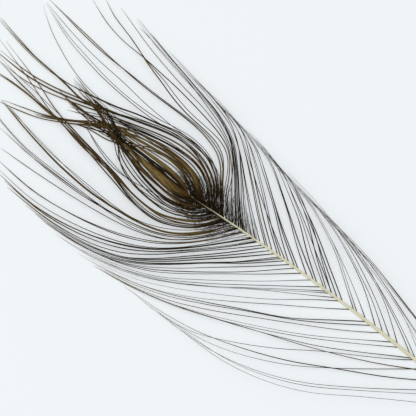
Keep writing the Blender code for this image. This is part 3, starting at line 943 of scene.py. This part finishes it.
def streak_group():
    """Fine streaks along a barb or the shaft and small ridges across it."""
    name = "Keratin streaks"
    if name in bpy.data.node_groups:
        return bpy.data.node_groups[name]
    inputs = [("Along", 0.0), ("Around", 0.0), ("Chance", 0.0), ("Ridge step", 0.5)]
    group = new_group(name, inputs, ["Streak", "Ridge", "Height"])
    given = add_node(group, "NodeGroupInput").outputs
    result = add_node(group, "NodeGroupOutput").inputs
    place = add_node(group, "ShaderNodeCombineXYZ")
    for socket, (label, times) in zip(place.inputs, STREAK_SCALES):
        feed(group, socket, reckon(group, "MULTIPLY", given[label], times))
    noise = add_node(group, "ShaderNodeTexNoise")
    noise.inputs["Scale"].default_value = 1.0
    noise.inputs["Detail"].default_value = STREAK_DETAIL
    feed(group, noise.inputs["Vector"], place.outputs[0])
    streak = noise.outputs[0]
    turns = reckon(group, "DIVIDE", given["Along"], given["Ridge step"])
    lean = reckon(group, "MULTIPLY", given["Around"], RIDGE_LEAN)
    angle = reckon(group, "MULTIPLY", reckon(group, "ADD", turns, lean), math.tau)
    ridge = reckon(group, "ADD", reckon(group, "MULTIPLY", reckon(group, "SINE", angle), 0.5), 0.5)
    height = reckon(group, "ADD", reckon(group, "MULTIPLY", ridge, RIDGE_HEIGHT), streak)
    for label, value in (("Streak", streak), ("Ridge", ridge), ("Height", height)):
        feed(group, result[label], value)
    return group


def attribute(tree, name):
    node = add_node(tree, "ShaderNodeAttribute", attribute_type="GEOMETRY", attribute_name=name)
    return node.outputs["Fac"]


def ramp(tree, source, stops):
    """Greys along a ramp, from stops of (place, grey)."""
    node = add_node(tree, "ShaderNodeValToRGB")
    elements = node.color_ramp.elements
    while len(elements) < len(stops):
        elements.new(0.5)
    for element, (place, value) in zip(elements, stops):
        element.position = place
        element.color = (value, value, value, 1.0)
    feed(tree, node.inputs[0], source)
    return node.outputs[0]


def along_barb(tree, reach, stops):
    """Greys along a barb, from stops of (distance from the shaft, grey)."""
    return ramp(tree, reach, [(distance / ZONE_SPAN, value) for distance, value in stops])


def mixed(tree, share, first, second):
    """A colour from first to second, by share."""
    node = add_node(tree, "ShaderNodeMix", data_type="RGBA")
    for index, value in zip(MIX_INPUTS, (share, first, second)):
        feed(tree, node.inputs[index], value)
    return node.outputs[MIX_OUTPUT]


def new_keratin(name, ridge_step):
    """A new material, with its distance from the root, its place around the section and its streaks."""
    material = bpy.data.materials.new(name)
    material.use_nodes = True
    tree = material.node_tree
    uv = add_node(tree, "ShaderNodeUVMap")
    parts = add_node(tree, "ShaderNodeSeparateXYZ")
    feed(tree, parts.inputs[0], uv.outputs[0])
    far = attribute(tree, "from_root")
    around = parts.outputs[1]
    streaks = add_node(tree, "ShaderNodeGroup", node_tree=streak_group())
    for label, value in (("Along", far), ("Around", around), ("Ridge step", ridge_step)):
        feed(tree, streaks.inputs[label], value)
    return material, far, around, streaks


def finish_keratin(material, body, streaks, least_rough, rougher, bump, depth):
    """Link the colour, and let the streaks roughen the surface and dent it by depth in metres."""
    tree = material.node_tree
    shader = tree.nodes["Principled BSDF"]
    rough = reckon(tree, "ADD", reckon(tree, "MULTIPLY", streaks.outputs["Streak"], rougher), least_rough)
    relief = add_node(tree, "ShaderNodeBump")
    for label, value in (("Strength", bump), ("Distance", depth), ("Height", streaks.outputs["Height"])):
        feed(tree, relief.inputs[label], value)
    for label, value in (("Base Color", body), ("Roughness", rough), ("Normal", relief.outputs[0])):
        feed(tree, shader.inputs[label], value)


def barb_material(name):
    """Dark keratin with golden faces along a stretch of the barb, paler at its root and its tip."""
    if name in bpy.data.materials:
        return bpy.data.materials[name]
    gold_from, gold_to, root, fade = KERATINS[name]
    material, far, around, streaks = new_keratin(name, BARB_RIDGE_STEP)
    tree = material.node_tree
    gold = attribute(tree, "gold")
    feed(tree, streaks.inputs["Chance"], attribute(tree, "chance"))
    streak = streaks.outputs["Streak"]
    reach = reckon(tree, "DIVIDE", far, ZONE_SPAN, clamp=True)
    zone = along_barb(tree, reach, [
        (0.0, root), (2.7, root * 0.7), (5.25, 0.12), (gold_from, 0.15), (gold_from + GOLD_COMES_IN, 1.0),
        (gold_to, 0.9), (gold_to + GOLD_GOES_IN, 0.35)])
    edge = reckon(tree, "ABSOLUTE", reckon(tree, "COSINE", reckon(tree, "MULTIPLY", around, math.tau)))
    face = reckon(tree, "SUBTRACT", GOLD_FACE, edge, clamp=True)
    shine = reckon(tree, "MULTIPLY", reckon(tree, "MULTIPLY", gold, zone), face)
    grain = reckon(
        tree, "ADD", ramp(tree, streak, [(0.0, 0.0), (0.40, 0.15), (0.54, 0.9)]),
        reckon(tree, "MULTIPLY", streaks.outputs["Ridge"], RIDGE_GLEAM))
    golden = reckon(tree, "MULTIPLY", shine, grain, clamp=True)
    warmth = reckon(
        tree, "ADD", reckon(tree, "MULTIPLY", gold, GOLD_WARMTH),
        reckon(tree, "MULTIPLY", streak, STREAK_WARMTH), clamp=True)
    body = mixed(tree, warmth, colour("dark"), colour("brown"))
    body = mixed(tree, golden, body, colour("gold"))
    pale = along_barb(tree, reach, [
        (0.0, root * 0.5), (1.8, root * 0.35), (4.5, 0.0), (67.5, 0.0), (142.5, fade)])
    body = mixed(tree, pale, body, colour("tip"))
    finish_keratin(material, body, streaks, least_rough=0.32, rougher=0.3, bump=0.5, depth=0.00006)
    tree.nodes["Principled BSDF"].inputs["Specular IOR Level"].default_value = BARB_SPECULAR
    return material


def shaft_material():
    """Cream keratin, darker down its sides and towards its thin end; the lighter top is partly a painted
    highlight and the darker sides are partly painted shade.
    """
    material, far, _, streaks = new_keratin("cream keratin", SHAFT_RIDGE_STEP)
    tree = material.node_tree
    # Painted highlight and shade: the higher a point lies on the section, the more cream it gets. The top is
    # partly a painted highlight, and the sides and the groove below are partly painted shade, laid over the
    # keratin's own darker sides.
    back = ramp(tree, attribute(tree, "side"), [(0.0, 0.0), (0.34, 0.08), (0.70, 0.62), (0.92, 1.0)])
    mottle = reckon(tree, "MULTIPLY", streaks.outputs["Streak"], SHAFT_MOTTLE)
    light = reckon(tree, "SUBTRACT", reckon(tree, "ADD", back, SHAFT_LIGHT), mottle, clamp=True)
    body = mixed(tree, light, SHAFT_SIDES_AND_SHADE, colour("cream"))
    thin = ramp(tree, reckon(tree, "DIVIDE", far, SHAFT_TO - SHAFT_FROM, clamp=True), [
        (0.0, 0.0), (0.81, 0.0), (0.86, 0.30), (0.90, 0.50), (0.95, 0.9), (1.0, 1.0)])
    body = mixed(tree, thin, body, SHAFT_END)
    finish_keratin(material, body, streaks, least_rough=0.22, rougher=0.25, bump=0.35, depth=0.00008)
    return material


def mark_shaft(piece, path):
    """Keep the distance from the cut end and the height on the section at each point."""
    mesh = piece.data
    far = mesh.attributes.new("from_root", "FLOAT", "POINT")
    side = mesh.attributes.new("side", "FLOAT", "POINT")
    for i, vertex in enumerate(mesh.vertices):
        here = vertex.co / MM - EYE_FOOT
        place, half = min(path, key=lambda row: abs(row[0].y - here.y))
        far.data[i].value = here.y - SHAFT_FROM
        side.data[i].value = min(max((here.z - place.z) / half * 0.5 + 0.5, 0.0), 1.0)


def hollow_end(piece):
    """Sink the pith into the cut end."""
    deselect_all()
    bpy.context.view_layer.objects.active = piece
    piece.select_set(True)
    low = min(vertex.co.y for vertex in piece.data.vertices)
    bpy.ops.object.mode_set(mode="EDIT")
    bpy.ops.mesh.select_all(action="DESELECT")
    bpy.ops.object.mode_set(mode="OBJECT")
    for polygon in piece.data.polygons:
        polygon.select = polygon.normal.y < -END_FACING and abs(polygon.center.y - low) < END_REACH
    bpy.ops.object.mode_set(mode="EDIT")
    bpy.ops.mesh.select_mode(type="FACE")
    bpy.ops.mesh.inset(thickness=RIM_WIDTH)
    bpy.ops.mesh.inset(thickness=PITH_WALL)
    bpy.ops.transform.translate(value=(0.0, PITH_DEPTH, 0.0))
    bpy.ops.object.mode_set(mode="OBJECT")
    bpy.ops.object.shade_smooth_by_angle(angle=END_SMOOTH_ANGLE)


class FEATHER_OT_shaft(bpy.types.Operator):
    """Build the shaft, from its cut end to its thin end inside the eye"""

    bl_idname = "feather.shaft"
    bl_label = "Shaft"

    def execute(self, context):
        path = []
        for i in range(SHAFT_RINGS):
            y = SHAFT_FROM + (SHAFT_TO - SHAFT_FROM) * i / (SHAFT_RINGS - 1)
            half = between(SHAFT_HALF_WIDTHS, y)
            path.append((Vector((shaft_x(y), y, half * SHAFT_DEPTH + CLEARANCE)), half))
        places, halves = zip(*path)
        piece = swept("shaft", SHAFT_SECTION, [Barb(places, halves, [0.0] * SHAFT_RINGS, 0.0)])
        hollow_end(piece)
        mark_shaft(piece, path)
        adopt(piece, shaft_material())
        return {"FINISHED"}


def build_vane(name):
    side, low, high, seed = VANES[name]
    barb_piece(name, vane_barbs(random.Random(seed), side, low, high), seed + 1, "dark keratin")


class FEATHER_OT_right_vane(bpy.types.Operator):
    """Build the barbs of the right vane below the eye"""

    bl_idname = "feather.right_vane"
    bl_label = "Right barbs"

    def execute(self, context):
        build_vane("right_barbs")
        return {"FINISHED"}


class FEATHER_OT_left_vane(bpy.types.Operator):
    """Build the barbs of the left vane below the eye"""

    bl_idname = "feather.left_vane"
    bl_label = "Left barbs"

    def execute(self, context):
        build_vane("left_barbs")
        return {"FINISHED"}


class FEATHER_OT_eye(bpy.types.Operator):
    """Build the bundles and strands of barbs that sweep round the eye and cross over it"""

    bl_idname = "feather.eye"
    bl_label = "Eye barbs"

    def execute(self, context):
        for name, (_, _, _, seed) in EYE_SIDES.items():
            barb_piece(name, eye_barbs(name), seed + 1, "eye keratin")
        return {"FINISHED"}


class FEATHER_OT_broad(bpy.types.Operator):
    """Build the broad flat barbs in the middle of the eye"""

    bl_idname = "feather.broad"
    bl_label = "Broad barbs"

    def execute(self, context):
        barbs = [broad_barb(*row) for row in BROAD_BARBS]
        barb_piece("broad_barbs", barbs, BROAD_SEED, "golden keratin")
        return {"FINISHED"}


class FEATHER_OT_foot(bpy.types.Operator):
    """Build the short barbs and hairs in the dark foot of the eye"""

    bl_idname = "feather.foot"
    bl_label = "Foot of the eye"

    def execute(self, context):
        rng = random.Random(FOOT_SEED)
        barbs = []
        for name, (side, _, _, _) in EYE_SIDES.items():
            barbs += short_barbs(rng, side)
            barbs += hairs(rng, eye_barbs(name))
        barb_piece("eye_foot", barbs, FOOT_SEED + 1, "black keratin")
        return {"FINISHED"}


def floor_material():
    material = bpy.data.materials.new("pale floor")
    material.use_nodes = True
    shader = material.node_tree.nodes["Principled BSDF"]
    shader.inputs["Base Color"].default_value = colour("floor")
    shader.inputs["Roughness"].default_value = FLOOR_ROUGHNESS
    shader.inputs["Emission Color"].default_value = colour("floor")
    shader.inputs["Emission Strength"].default_value = FLOOR_GLOW
    return material


def soft_light(name, place, size, power):
    """A square light that faces the feather's middle."""
    bpy.ops.object.light_add(type="AREA", location=place)
    light = bpy.context.object
    light.name = name
    light.data.size = size
    light.data.energy = power
    light.rotation_euler = (-Vector(place)).to_track_quat("-Z", "Y").to_euler()


def world():
    sky = bpy.data.worlds.new("studio")
    sky.use_nodes = True
    background = sky.node_tree.nodes["Background"]
    background.inputs["Color"].default_value = SKY_COLOUR
    background.inputs["Strength"].default_value = SKY_STRENGTH
    bpy.context.scene.world = sky


def camera():
    back = Vector((math.sin(CAMERA_AZIMUTH) * math.cos(CAMERA_ELEVATION),
                   -math.cos(CAMERA_AZIMUTH) * math.cos(CAMERA_ELEVATION), math.sin(CAMERA_ELEVATION)))
    target = (CAMERA_TARGET + EYE_FOOT) * MM
    bpy.ops.object.camera_add(location=target + back * CAMERA_DISTANCE)
    view = bpy.context.object
    view.name = "camera"
    view.rotation_euler = (-back).to_track_quat("-Z", "Y").to_euler()
    view.data.lens = CAMERA_LENS
    view.data.sensor_width = CAMERA_SENSOR
    view.data.clip_start = CAMERA_NEAR
    bpy.context.scene.camera = view


class FEATHER_OT_stage(bpy.types.Operator):
    """Build the floor, the lights and the camera"""

    bl_idname = "feather.stage"
    bl_label = "Stage"

    def execute(self, context):
        deselect_all()
        bpy.ops.mesh.primitive_plane_add(size=FLOOR_SIZE, location=(0.0, 0.0, 0.0))
        floor = bpy.context.object
        floor.name = "floor"
        floor.data.materials.append(floor_material())
        for row in LIGHTS:
            soft_light(*row)
        world()
        camera()
        context.scene.view_settings.view_transform = "Standard"
        return {"FINISHED"}


class FEATHER_PT_panel(bpy.types.Panel):
    """The feather's pieces and settings"""

    bl_idname = "FEATHER_PT_panel"
    bl_label = "Peacock eye feather"
    bl_space_type = "VIEW_3D"
    bl_region_type = "UI"
    bl_category = "Feather"

    def draw(self, context):
        for name in FeatherSettings.__annotations__:
            self.layout.prop(context.scene.feather_settings, name)
        for operator in OPERATORS:
            self.layout.operator(operator.bl_idname)


OPERATORS = (
    FEATHER_OT_stage,
    FEATHER_OT_shaft,
    FEATHER_OT_right_vane,
    FEATHER_OT_left_vane,
    FEATHER_OT_eye,
    FEATHER_OT_broad,
    FEATHER_OT_foot,
)
CLASSES = (FeatherSettings, *OPERATORS, FEATHER_PT_panel)


def register():
    for item in CLASSES:
        bpy.utils.register_class(item)
    bpy.types.Scene.feather_settings = PointerProperty(type=FeatherSettings)


def unregister():
    del bpy.types.Scene.feather_settings
    for item in reversed(CLASSES):
        bpy.utils.unregister_class(item)


def main():
    register()
    bpy.ops.feather.stage()
    bpy.ops.feather.shaft()
    bpy.ops.feather.right_vane()
    bpy.ops.feather.left_vane()
    bpy.ops.feather.eye()
    bpy.ops.feather.broad()
    bpy.ops.feather.foot()


if __name__ == "__main__":
    main()
